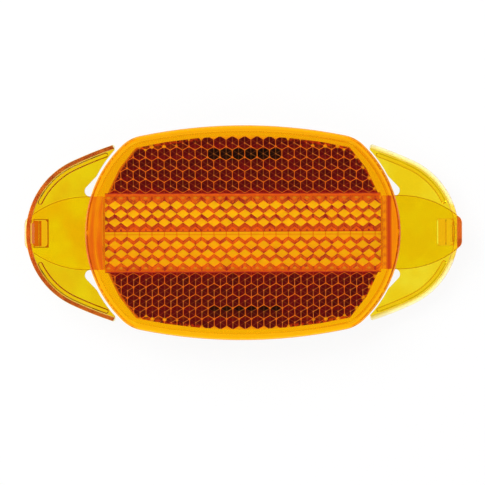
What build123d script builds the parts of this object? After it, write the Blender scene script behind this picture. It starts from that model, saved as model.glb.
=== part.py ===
from build123d import *
import math
import os

# Bicycle spoke reflector: two identical amber mouldings welded face to face.
# Each moulding is a lens with cube-corner prisms inside it, a crescent wing at one end and a tongue at
# the other. The second moulding is the first one turned half a turn about Y, so each crescent meets the
# other moulding's tongue and the wheel's spoke is held between them.
# X runs along the reflector, Y across it and Z through it, in millimetres. It lies on its rear face.
# Each moulding is drawn with its weld plane at zero height and its front face up.

# Lens body
body_length = 75.2
body_width = 51.2
body_side_drop = 2.965
body_end_drop = 10.87
body_corner = 8.5
half_depth = 5.0
plate_thickness = 1.6
wall_thickness = 1.3
front_edge_chamfer = 0.3

# Neck where a wing leaves the lens
neck_half_width = 8.7
neck_length = 4.2

# Prism fields: plain rim around them, prism size and the rows that they start from
prism_pitch = 2.96
side_rim = 2.5
end_rim = 3.8
field_facets = 7
prism_root = 0.15
prism_offset = 0.5
hex_row_start = 11.2
band_end_gap = 0.5
band_mirror_line = -0.2
band_first_row = 0.625
band_rows = 4
band_incline = 45.5

# Crescent wing
wing_reach = 14.25
wing_end_arc = 19.0
wing_end_turn = 65.0
wing_side_arc = 90.0
wing_tip_setback = 7.0
wing_tip_radius = 0.45
wing_outer_level = 2.8
wing_thickness = 1.2
wing_wall = 1.05
wing_wall_gap = 0.2
slit_width = 0.65
slit_end_radius = 1.3
slit_end_gap = 0.1
slit_end_stand_off = 0.7
slit_taper = 3.4
wing_bite = 0.6

# Raised grip ribs along the crescent
rib_inset = 1.8
rib_width = 1.2
rib_height = 0.45
rib_draft = 30.0
rib_start = 7.4
rib_tip_gap = 2.2

# Tongue
tongue_overhang = 0.55
tongue_half_width = 8.85
tongue_end_half_width = 3.04
tongue_corner = 2.0
tongue_end_wall = 1.2

# Catch: a peg on the tongue snaps through a window in the crescent
window_length = 3.7
window_width = 6.4
window_corner = 0.8
window_edge = 1.45
catch_clearance = 0.15
catch_stem = 1.5
catch_nose = 0.5
catch_nose_height = 0.8

# Places that follow from the sizes above
wing_length = body_length / 2 + wing_reach
wing_tip_reach = body_length / 2 - wing_tip_setback
slit_end_height = neck_half_width + slit_end_gap + slit_end_radius
tongue_length = wing_length + tongue_overhang
band_half_length = body_length / 2 - neck_length - band_end_gap


def arc_radius(half_chord, rise):
    """Radius of an arc from half of its chord and its rise."""
    return (half_chord**2 + rise**2) / (2 * rise)


def body_arcs():
    """Radii of the lens body's side and end arcs."""
    side_arc = arc_radius(body_length / 2 - body_end_drop, body_side_drop)
    end_arc = arc_radius(body_width / 2 - body_side_drop, body_end_drop)
    return side_arc, end_arc


def lens_arcs(length, width, side_arc, end_arc):
    """Upper, right, lower and left arc of an outline centred on the origin."""
    side_centre = width / 2 - side_arc
    end_centre = length / 2 - end_arc
    apart = math.hypot(end_centre, side_centre)
    along = (side_arc**2 - end_arc**2 + apart**2) / (2 * apart)
    across = math.sqrt(side_arc**2 - along**2)
    lean_x, lean_y = end_centre / apart, -side_centre / apart
    x = lean_x * along + lean_y * across
    y = side_centre + lean_y * along - lean_x * across
    return [
        ThreePointArc((-x, y), (0, width / 2), (x, y)),
        ThreePointArc((x, y), (length / 2, 0), (x, -y)),
        ThreePointArc((x, -y), (0, -width / 2), (-x, -y)),
        ThreePointArc((-x, -y), (-length / 2, 0), (-x, y)),
    ]


def body_outline(growth=0.0):
    """The lens body's outline, moved outwards by growth."""
    side_arc, end_arc = body_arcs()
    length = body_length + 2 * growth
    width = body_width + 2 * growth
    face = make_face(lens_arcs(length, width, side_arc + growth, end_arc + growth))
    return fillet(face.vertices(), body_corner + growth)


def field_outline():
    """Outline of the hex prism fields, with straight facets in place of its arcs."""
    side_arc, end_arc = body_arcs()
    length = body_length - 2 * end_rim
    width = body_width - 2 * side_rim
    arcs = lens_arcs(length, width, side_arc - side_rim, end_arc)
    points = [arc @ (step / field_facets) for arc in arcs for step in range(field_facets)]
    return make_face(Polyline(*points, close=True))


def strip(y_low, y_high, length):
    """Rectangle between two heights, centred along X."""
    return Pos(0, (y_low + y_high) / 2) * Rectangle(length, y_high - y_low)


def cell_steps(incline):
    """Run and fall along Y of a cell's square face, and the run of its groove."""
    slope = math.radians(incline)
    face_run = prism_pitch / 2 * math.sin(slope)
    face_fall = prism_pitch / 2 * math.cos(slope)
    return face_run, face_fall, face_fall / math.tan(slope)


def cube_corner_block(incline, apex_row, rows, reach_x, ceiling, plain_top=False):
    """Closed block whose underside is a sheet of cube corners that hang below zero height.

    Each cell is a square face, seen as a diamond, and two faces of a right-angled groove that meets it
    squarely. incline is the grooves' slope: at 35.26 degrees the cells are upright cube corners, which
    look like hexagons from above. apex_row is the height along Y of row 0, which has a cell prism_offset
    to the right of the middle.
    With plain_top the last row's square faces run on to zero height, with no grooves cut across them.
    """
    face_run, face_fall, groove_run = cell_steps(incline)
    half = prism_pitch / 2
    columns = math.ceil(reach_x / prism_pitch) + 1
    panels = []
    for row in rows:
        apex_y = apex_row + row * (face_run + groove_run)
        shift = prism_offset + (half if row % 2 else 0.0)
        for column in range(-columns, columns + 1):
            x = column * prism_pitch + shift
            low = (x, apex_y, -2 * face_fall)
            left = (x - half, apex_y + face_run, -face_fall)
            right = (x + half, apex_y + face_run, -face_fall)
            top = [(x, apex_y + 2 * face_run, 0.0)]
            if plain_top and row == rows[-1]:
                top = [(end_x, apex_y + 2 * face_run, 0.0) for end_x in (right[0], left[0])]
            low_end = (x, apex_y - groove_run, -face_fall)
            left_end = (x - half, apex_y + face_run - groove_run, 0.0)
            right_end = (x + half, apex_y + face_run - groove_run, 0.0)
            panels.append([low, right, *top, left])
            panels.append([left, left_end, low_end, low])
            panels.append([low, low_end, right_end, right])
    return closed_block(panels, ceiling)


def closed_block(panels, ceiling):
    """Solid between a sheet of flat panels and a flat ceiling above it."""
    def key(point):
        return tuple(round(value, 6) for value in point)

    edges = {}
    for panel in panels:
        for start, end in zip(panel, panel[1:] + panel[:1]):
            edges[key(start), key(end)] = (start, end)
    rim = {start: end for start, end in edges if (end, start) not in edges}
    faces = [Face(Wire.make_polygon(panel)) for panel in panels]
    point = next(iter(rim))
    cap = []
    for _ in range(len(rim)):
        step = rim[point]
        raised = (point[0], point[1], ceiling)
        next_raised = (step[0], step[1], ceiling)
        faces.append(Face(Wire.make_polygon([point, step, next_raised, raised])))
        cap.append(raised)
        point = step
    faces.append(Face(Wire.make_polygon(cap)))
    return Solid(Shell(faces))


def prism_fields():
    """Hex prisms above and below, and two sets of leaning prisms in the band between them."""
    root = half_depth - plate_thickness
    depth = 2 * prism_pitch
    blocks = []
    for lower, upper_area, lower_area in (hex_prisms(depth), band_prisms(depth)):
        lower_column = Pos(0, 0, root - depth) * extrude(lower_area, depth + plate_thickness / 2)
        upper_column = Pos(0, 0, root - depth) * extrude(upper_area, depth + plate_thickness / 2)
        lower = Pos(0, 0, root - prism_root) * lower
        blocks += [lower_column & lower, upper_column & mirror(lower, about=Plane.XZ)]
    shift = Pos(0, band_mirror_line)
    return blocks[:2] + [shift * block for block in blocks[2:]]


def hex_prisms(depth):
    """Block of upright prisms for the lower field, and the areas of the two fields."""
    upright = math.degrees(math.asin(1 / math.sqrt(3)))
    face_run, _, groove_run = cell_steps(upright)
    field_start = hex_row_start - groove_run
    upper_area = field_outline() & strip(field_start, body_width / 2, body_length)
    rows_out = math.ceil((body_width / 2 - hex_row_start) / (face_run + groove_run))
    block = cube_corner_block(upright, -hex_row_start, range(-rows_out, 2), body_length / 2, depth)
    return block, upper_area, mirror(upper_area, about=Plane.XZ)


def band_prisms(depth):
    """Block of leaning prisms below the band's mirror line, and the areas on both sides of its split."""
    face_run, _, groove_run = cell_steps(band_incline)
    outer_row = band_first_row + band_rows * (face_run + groove_run)
    upper_area = strip(band_first_row, outer_row, 2 * band_half_length)
    lower_area = strip(-outer_row, band_first_row, 2 * band_half_length)
    apex_row = -band_first_row - face_run
    rows = range(-band_rows - 1, 1)
    block = cube_corner_block(band_incline, apex_row, rows, band_half_length, depth, plain_top=True)
    return block, upper_area, lower_area


def lens_body():
    """Plate, wall and the two solid necks, with the front edge chamfered."""
    body = extrude(body_outline(), half_depth)
    front_edge = body.faces().sort_by(Axis.Z)[-1].edges()
    body = chamfer(front_edge, front_edge_chamfer)
    necks = strip(-neck_half_width, neck_half_width, body_length)
    necks -= strip(-neck_half_width, neck_half_width, body_length - 2 * neck_length)
    cavity = body_outline(-wall_thickness) - necks
    return body - extrude(cavity, half_depth - plate_thickness)


def wing_curve(inset):
    """The crescent's outer edge as arcs from tip to tip, moved inwards by inset."""
    end_centre = Vector(wing_end_arc - wing_length, 0)
    turn = math.radians(wing_end_turn)
    lean = Vector(math.cos(turn), -math.sin(turn))
    side_centre = end_centre + lean * (wing_side_arc - wing_end_arc)
    side_radius = wing_side_arc - inset
    tip_angle = math.degrees(math.acos((-wing_tip_reach - side_centre.X) / side_radius))
    join_angle = 180 - wing_end_turn
    upper = CenterArc(side_centre, side_radius, tip_angle, join_angle - tip_angle)
    end = CenterArc(end_centre, wing_end_arc - inset, join_angle, 2 * wing_end_turn)
    return [upper, end, mirror(upper, about=Plane.XZ)]


def wing_area(inset):
    """Area inside the crescent's outer edge, closed behind the lens."""
    arcs = wing_curve(inset)
    return make_face(arcs + [Line(arcs[0] @ 0, arcs[2] @ 0)])


def slit_end(side):
    """Round end of the slit between horn and lens, drawn out towards the horn's tip."""
    _, end_arc = body_arcs()
    end_centre = body_length / 2 - end_arc

    def edge_x(height):
        return -end_centre - math.sqrt(end_arc**2 - height**2)

    taper_height = slit_end_height + slit_taper
    hole = Pos(edge_x(slit_end_height) - slit_end_stand_off, slit_end_height) * Circle(slit_end_radius)
    mouth = Pos(edge_x(taper_height) - slit_width / 2, taper_height) * Circle(slit_width / 2)
    drop = make_hull(hole.edges() + mouth.edges())
    return drop if side > 0 else mirror(drop, about=Plane.XZ)


def crescent_wing():
    """Flat crescent with a wall round its outer edge, two grip ribs and the catch window."""
    slit = body_outline(slit_width) - strip(-slit_end_height, slit_end_height, 2 * wing_length)
    sheet = wing_area(0.0) - slit - body_outline(-wing_bite)
    sheet -= slit_end(1)
    sheet -= slit_end(-1)
    sheet = sheet.faces().sort_by(Axis.X)[0]
    tips = sheet.vertices().sort_by(lambda corner: abs(corner.Y))[-2:]
    sheet = fillet(tips, wing_tip_radius)
    wall = sheet & (wing_area(0.0) - wing_area(wing_wall))
    inner_level = wing_outer_level - wing_thickness
    wing = Pos(0, 0, inner_level) * extrude(sheet - window_area(-1, 0.0), wing_thickness)
    wing += Pos(0, 0, wing_wall_gap) * extrude(wall, wing_outer_level - wing_wall_gap)
    for rib in grip_ribs():
        # A tapered extrude runs downwards here, so the rib is turned over.
        bar = mirror(extrude(rib, rib_height, taper=rib_draft), about=Plane.XY)
        wing += Pos(0, 0, wing_outer_level) * bar
    return wing


def grip_ribs():
    """Round-ended bars that follow the crescent's edge on both horns."""
    upper, end, _ = wing_curve(rib_inset)
    rib_radius = wing_end_arc - rib_inset
    start_turn = math.degrees(math.asin(rib_start / rib_radius))
    end_part = CenterArc(
        end.arc_center, rib_radius, 180 - wing_end_turn, wing_end_turn - start_turn
    )
    side_part = upper.trim(rib_tip_gap / upper.length, 1.0)
    bar = trace([side_part, end_part], line_width=rib_width)
    for cap_point in (side_part @ 0, end_part @ 1):
        bar += Pos(cap_point) * Circle(rib_width / 2)
    return [bar, mirror(bar, about=Plane.XZ)]


def tongue():
    """Tapered tongue with a turned-in end wall and the catch that passes through the other wing."""
    taper_start = Vector(body_length / 2, tongue_half_width)
    corner = Vector(tongue_length, tongue_end_half_width)
    upper = [
        Line((0, tongue_half_width), taper_start),
        TangentArc(taper_start, corner, tangent=(1, 0)),
    ]
    lower = [mirror(edge, about=Plane.XZ) for edge in upper]
    end = Line(corner, (tongue_length, -tongue_end_half_width))
    root = Line((0, tongue_half_width), (0, -tongue_half_width))
    area = make_face(upper + lower + [end, root])
    area = fillet(area.vertices().sort_by(Axis.X)[-2:], tongue_corner)
    area -= body_outline(-wing_bite)
    area = area.faces().sort_by(Axis.X)[-1]
    end_zone = Pos(tongue_length, 0) * Rectangle(2 * tongue_end_wall, 2 * tongue_half_width)
    inner_level = wing_outer_level - wing_thickness
    blade = Pos(0, 0, inner_level) * extrude(area, wing_thickness)
    blade += Pos(0, 0, wing_wall_gap) * extrude(area & end_zone, wing_outer_level - wing_wall_gap)
    return blade + catch_peg()


def window_area(side, clearance):
    """The catch window at one end of the reflector, made smaller by clearance all round."""
    centre_x = wing_length - window_edge - window_length / 2
    length = window_length - 2 * clearance
    width = window_width - 2 * clearance
    return Pos(side * centre_x, 0) * RectangleRounded(length, width, window_corner - clearance)


def catch_peg():
    """Stem that leaves the tongue's inside and a nose that hooks over the far wing's outer face."""
    outer_x = wing_length - window_edge - catch_clearance
    inner_x = outer_x - catch_stem
    top = wing_outer_level - wing_thickness / 2
    nose_top = -wing_outer_level - catch_clearance
    nose_low = nose_top - catch_nose_height
    stem_zone = Pos(outer_x - catch_stem / 2, 0) * Rectangle(catch_stem, window_width)
    stem_area = window_area(1, catch_clearance) & stem_zone
    peg = Pos(0, 0, nose_top) * extrude(stem_area, top - nose_top)
    nose = Polyline(
        (inner_x, 0, nose_top),
        (outer_x + catch_nose, 0, nose_top),
        (outer_x - catch_nose, 0, nose_low),
        (inner_x, 0, nose_low),
        close=True,
    )
    nose_reach = window_width / 2 - window_corner
    return peg + extrude(make_face(nose), nose_reach, dir=(0, 1, 0), both=True)


def half_moulding():
    """One whole moulding, weld plane at zero height, crescent at -X and tongue at +X."""
    return lens_body() + crescent_wing() + tongue() + prism_fields()


def main():
    half = half_moulding()
    front = Pos(0, 0, half_depth) * half
    rear = Pos(0, 0, half_depth) * Rot(0, 180, 0) * half
    os.makedirs("parts", exist_ok=True)
    export_step(front, "parts/front_lens.step")
    export_step(rear, "parts/rear_lens.step")


main()
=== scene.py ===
import logging
import math
from collections.abc import Callable
from dataclasses import dataclass, field
from enum import Enum
from functools import cached_property

import bmesh
import bpy
from bmesh.types import BMesh
from bpy.types import Material, Mesh, Node, NodeSocket, NodeTree, Object
from mathutils import Matrix, Vector


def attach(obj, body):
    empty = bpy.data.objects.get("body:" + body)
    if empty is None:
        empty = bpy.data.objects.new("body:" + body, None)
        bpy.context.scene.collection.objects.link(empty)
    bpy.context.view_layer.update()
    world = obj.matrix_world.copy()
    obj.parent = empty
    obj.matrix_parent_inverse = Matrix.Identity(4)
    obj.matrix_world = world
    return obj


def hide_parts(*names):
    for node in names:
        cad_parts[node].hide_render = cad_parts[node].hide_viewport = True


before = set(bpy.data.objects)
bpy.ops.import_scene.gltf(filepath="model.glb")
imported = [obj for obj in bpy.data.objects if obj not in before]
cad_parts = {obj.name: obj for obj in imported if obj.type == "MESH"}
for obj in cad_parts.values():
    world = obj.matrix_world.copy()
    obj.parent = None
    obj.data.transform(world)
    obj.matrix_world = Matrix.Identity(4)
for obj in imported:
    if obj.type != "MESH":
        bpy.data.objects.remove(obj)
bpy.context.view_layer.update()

# Spoke reflector: two clear amber mouldings, and opaque prism faces with painted light and shade that show
# through their plates.
# Meshes are in metres in the frame of the imported model, which lies on its rear face.
# The shared plan, the finishes and the painted wing light pieces are in millimetres.

MM = 0.001
WHITE = (1.0, 1.0, 1.0, 1.0)
UNLIT = (0.0, 0.0, 0.0, 1.0)
LOG = logging.getLogger("spoke_reflector")

Colour = tuple[float, float, float, float]
Span = tuple[float, float]
Cut = tuple[Vector, Vector]


def colour(red: float, green: float, blue: float) -> Colour:
    """Turn a screen colour into the linear colour that shader sockets take.

    Args:
        red: Red from 0 to 255.
        green: Green from 0 to 255.
        blue: Blue from 0 to 255.

    Returns:
        Linear red, green and blue, and an alpha of 1.
    """
    parts = []
    for value in (red, green, blue):
        share = value / 255
        parts.append(share / 12.92 if share <= 0.04045 else ((share + 0.055) / 1.055) ** 2.4)
    return (*parts, 1.0)


def maths(operation: str, swapped: bool = False) -> Callable[..., "Value"]:
    """Make a method of Value that adds one Math node.

    Args:
        operation: The Math node's operation.
        swapped: Whether the other value comes first.

    Returns:
        The method.
    """
    def method(self: "Value", *others: "Value | float") -> "Value":
        """Put this value and any other through the Math node."""
        return self.graph.math(operation, *((*others, self) if swapped else (self, *others)))
    return method


class Value:
    """A node's output socket that takes part in Python arithmetic."""

    __add__ = __radd__ = maths("ADD")
    __sub__ = maths("SUBTRACT")
    __rsub__ = maths("SUBTRACT", swapped=True)
    __mul__ = __rmul__ = maths("MULTIPLY")
    __truediv__ = maths("DIVIDE")
    __abs__ = maths("ABSOLUTE")
    __gt__ = maths("GREATER_THAN")
    __lt__ = maths("LESS_THAN")
    least = maths("MINIMUM")
    most = maths("MAXIMUM")

    def __init__(self, graph: "Graph", socket: NodeSocket) -> None:
        """Keep the socket and the graph that it belongs to."""
        self.graph = graph
        self.socket = socket

    def between(self, low: float, high: float) -> "Value":
        """1 between two limits, else 0."""
        return (self > low) * (self < high)

    def hypot(self, other: "Value") -> "Value":
        """Length of the slope over two values at right angles."""
        return self.graph.math("SQRT", self * self + other * other)

    def fade(self, start: float, end: float) -> "Value":
        """Smooth step from 0 at start to 1 at end."""
        sockets = {"Value": self, "From Min": start, "From Max": end}
        return self.graph.output("ShaderNodeMapRange", {"interpolation_type": "SMOOTHSTEP"}, sockets)

    def fade_out(self, start: float, end: float) -> "Value":
        """Smooth step from 1 at start to 0 at end."""
        return 1.0 - self.fade(start, end)


class Graph:
    """A node tree under construction."""

    def __init__(self, tree: NodeTree) -> None:
        """Start from an empty tree."""
        self.tree = tree
        tree.nodes.clear()

    def feed(self, socket: NodeSocket, value: object) -> None:
        """Set an input socket, or link it where the value is a wrapped socket.

        Args:
            socket: The input socket.
            value: A number, colour or text, or a wrapped socket.
        """
        if isinstance(value, Value):
            self.tree.links.new(value.socket, socket)
        else:
            socket.default_value = value

    def node(self, kind: str, settings: dict | None = None, sockets: dict | None = None) -> Node:
        """Add one node.

        Args:
            kind: The node's type.
            settings: Its properties, which are set first.
            sockets: Values or links of its inputs, by name or index.

        Returns:
            The new node.
        """
        made = self.tree.nodes.new(kind)
        for name, value in (settings or {}).items():
            setattr(made, name, value)
        for key, value in (sockets or {}).items():
            self.feed(made.inputs[key], value)
        return made

    def output(self, kind: str, settings: dict | None = None, sockets: dict | None = None,
               output: str | int = 0) -> Value:
        """Add one node as node() does, and wrap one of its outputs."""
        return Value(self, self.node(kind, settings, sockets).outputs[output])

    def math(self, operation: str, *terms: object) -> Value:
        """Add one Math node with its values or links in order."""
        return self.output("ShaderNodeMath", {"operation": operation}, dict(enumerate(terms)))

    def mix(self, share: Value, first: object, second: object) -> Value:
        """Mix two colours, with the second one's share."""
        return self.output("ShaderNodeMix", {"data_type": "RGBA"}, {0: share, 6: first, 7: second}, 2)

    def paint(self, shade: object, *coats: tuple[Value, object]) -> object:
        """Lay colours over one another.

        Args:
            shade: The lowest colour.
            coats: Share and colour of each coat, from the lowest up.

        Returns:
            The colour that shows.
        """
        for share, coat in coats:
            shade = self.mix(share, shade, coat)
        return shade

    def parts(self, vector: Value) -> list[Value]:
        """The three parts of a vector."""
        return [Value(self, part) for part in self.node("ShaderNodeSeparateXYZ", None, {0: vector}).outputs]

    def vector(self, *parts: object) -> Value:
        """A vector made from its three parts."""
        return self.output("ShaderNodeCombineXYZ", None, dict(enumerate(parts)))

    def place(self, kind: str = "Object") -> Value:
        """Texture coordinates of a kind."""
        return self.output("ShaderNodeTexCoord", None, None, kind)

    def noise(self, scale: float, detail: float = 2.0) -> Value:
        """Noise over Object coordinates, with scale in features for each metre."""
        sockets = {"Vector": self.place(), "Scale": scale, "Detail": detail}
        return self.output("ShaderNodeTexNoise", None, sockets)

    def attribute(self, name: str, output: str = "Fac") -> Value:
        """A piece's own named attribute, as a shader reads it."""
        return self.output("ShaderNodeAttribute", {"attribute_name": name}, None, output)

    def read(self, name: str) -> Value:
        """A named number, as a geometry tree reads it."""
        return self.output("GeometryNodeInputNamedAttribute", {"data_type": "FLOAT"}, {"Name": name})

    def store(self, geometry: Value, name: str, value: object, domain: str = "FACE",
              kind: str = "FLOAT") -> Value:
        """Store a named attribute of a kind on a geometry's domain."""
        sockets = {"Geometry": geometry, "Name": name, "Value": value}
        return self.output("GeometryNodeStoreNamedAttribute", {"data_type": kind, "domain": domain}, sockets)

    def show(self, shader: Value) -> None:
        """Show a shader on the surface of the material."""
        self.node("ShaderNodeOutputMaterial", None, {"Surface": shader})


def new_material(name: str) -> tuple[Material, Graph]:
    """Make an empty node material.

    Args:
        name: The material's name.

    Returns:
        The material and its graph.
    """
    material = bpy.data.materials.new(name)
    material.use_nodes = True
    return material, Graph(material.node_tree)


class Facet(Enum):
    """Kinds of prism face, as stored in the facet attribute."""

    SQUARE = 0
    LEFT_GROOVE = 1
    RIGHT_GROOVE = 2
    SHIELD = 3
    SPLIT = 4
    MARGIN = 5


class Half(Enum):
    """The two mouldings."""

    FRONT = "front"
    REAR = "rear"


@dataclass(frozen=True)
class ReflectorPlan:
    """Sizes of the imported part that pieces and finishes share, in millimetres."""

    mid_level: float = 5.0
    body_half_length: float = 37.6
    body_half_width: float = 25.6
    body_side_drop: float = 2.965
    body_end_drop: float = 10.87
    chamfer: float = 0.3
    wall: float = 1.3
    plate_height: float = 3.4
    side_rim: float = 2.5
    end_rim: float = 3.8
    neck_half_width: float = 8.7
    neck_length: float = 4.2
    wing_length: float = 51.85
    wing_end_arc: float = 19.0
    wing_side_arc: float = 90.0
    wing_end_turn: float = 65.0
    wing_tip: float = 0.45
    wing_tip_reach: float = 30.6
    slit: float = 0.65
    wing_wall: float = 1.05
    wing_outer: float = 2.8
    wing_gap: float = 0.2
    rib_height: float = 0.45
    window_centre: float = 48.55
    window_half_length: float = 1.85
    window_half_width: float = 3.2
    tongue_half_width: float = 8.85
    tongue_end_half_width: float = 3.04
    tongue_overhang: float = 0.55
    tongue_corner: float = 2.0
    tongue_end_wall: float = 1.2
    peg_outer: float = 50.25
    peg_stem: float = 1.5
    peg_half_width: float = 3.05

    @property
    def side_arc(self) -> float:
        """Radius of the body's long sides."""
        half_chord = self.body_half_length - self.body_end_drop
        return (half_chord**2 + self.body_side_drop**2) / (2 * self.body_side_drop)

    @property
    def end_arc(self) -> float:
        """Radius of the body's ends."""
        half_chord = self.body_half_width - self.body_side_drop
        return (half_chord**2 + self.body_end_drop**2) / (2 * self.body_end_drop)

    @property
    def tongue_length(self) -> float:
        """Distance from the middle to the end of a tongue."""
        return self.wing_length + self.tongue_overhang

    @property
    def tongue_drop(self) -> float:
        """Loss of half the tongue's width on its way out."""
        return self.tongue_half_width - self.tongue_end_half_width

    @property
    def tongue_arc(self) -> float:
        """Radius of the tongue's edges."""
        run = self.tongue_length - self.body_half_length
        return (run**2 + self.tongue_drop**2) / (2 * self.tongue_drop)


PLAN = ReflectorPlan()


class Spot:
    """A spot on a piece, and its distances inside the reflector's outlines, in millimetres."""

    def __init__(self, graph: Graph) -> None:
        """Read the spot's Object coordinates, and how far it is from the middle.

        Args:
            graph: The nodes that read it.
        """
        self.graph = graph
        self.x, self.y, self.z = (part / MM for part in graph.parts(graph.place()))
        self.past, self.off = abs(self.x), abs(self.y)

    @cached_property
    def height(self) -> Value:
        """Distance from the weld plane."""
        return abs(self.z - PLAN.mid_level)

    @cached_property
    def on_crescent(self) -> Value:
        """1 on the crescent's side of the weld plane at either end, else 0."""
        return (self.x * (PLAN.mid_level - self.z)) > 0.0

    def to_side(self, rim: float = 0.0) -> Value:
        """Distance inside the body's long sides, which a rim moves in."""
        tall = self.off + (PLAN.side_arc - PLAN.body_half_width)
        return PLAN.side_arc - rim - self.x.hypot(tall)

    def to_end(self, rim: float = 0.0) -> Value:
        """Distance inside the body's ends, which a rim moves in."""
        wide = self.past - (PLAN.body_half_length - rim - PLAN.end_arc)
        return PLAN.end_arc - wide.hypot(self.y)

    @cached_property
    def body_depth(self) -> Value:
        """Distance inside the lens body's outline."""
        return self.to_side().least(self.to_end())

    @cached_property
    def field_side(self) -> Value:
        """Distance inside the prism fields' long edges."""
        return self.to_side(PLAN.side_rim)

    @cached_property
    def field_end(self) -> Value:
        """Distance inside the prism fields' ends."""
        return self.to_end(PLAN.end_rim)

    @cached_property
    def crescent_depth(self) -> Value:
        """Distance inside a crescent's outer edge.

        Returns:
            The distance from the arc that the spot faces, at the end or at the sides.
        """
        turn = math.radians(PLAN.wing_end_turn)
        end_x = PLAN.wing_length - PLAN.wing_end_arc
        gap = PLAN.wing_side_arc - PLAN.wing_end_arc
        past = self.past - end_x
        out = self.past - (end_x - gap * math.cos(turn))
        tall = self.off + gap * math.sin(turn)
        at_end = self.off < past * math.tan(turn)
        to_end = PLAN.wing_end_arc - past.hypot(self.y)
        to_side = PLAN.wing_side_arc - out.hypot(tall)
        return at_end * to_end + (1.0 - at_end) * to_side

    @cached_property
    def tongue_depth(self) -> Value:
        """Distance inside a tongue's edges."""
        tall = self.off + (PLAN.tongue_arc - PLAN.tongue_half_width)
        return PLAN.tongue_arc - (self.past - PLAN.body_half_length).hypot(tall)

    @cached_property
    def from_window(self) -> Value:
        """Distance outside a catch window, less than 0 within it."""
        across = abs(self.past - PLAN.window_centre) - PLAN.window_half_length
        return across.most(self.off - PLAN.window_half_width)


class PrismSpot(Spot):
    """A spot on a prism face, with what the face's own attributes tell."""

    def __init__(self, graph: Graph) -> None:
        """Read the coordinates, the kind, tone and row of the cell, and the place along two edges.

        Args:
            graph: The nodes that read them.
        """
        super().__init__(graph)
        names = ("facet", "cell_tone", "cell_row")
        self.kind, self.tone, self.row = (graph.attribute(name) for name in names)
        self.along, self.across, _ = graph.parts(graph.attribute("cell_uv", "Vector"))

    def is_kind(self, kind: Facet) -> Value:
        """1 on faces of a kind, else 0."""
        return self.kind.between(kind.value - 0.5, kind.value + 0.5)

    def from_kind(self, kind: Facet) -> Value:
        """1 on faces of a kind or a later one, else 0."""
        return self.kind > kind.value - 0.5


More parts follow.
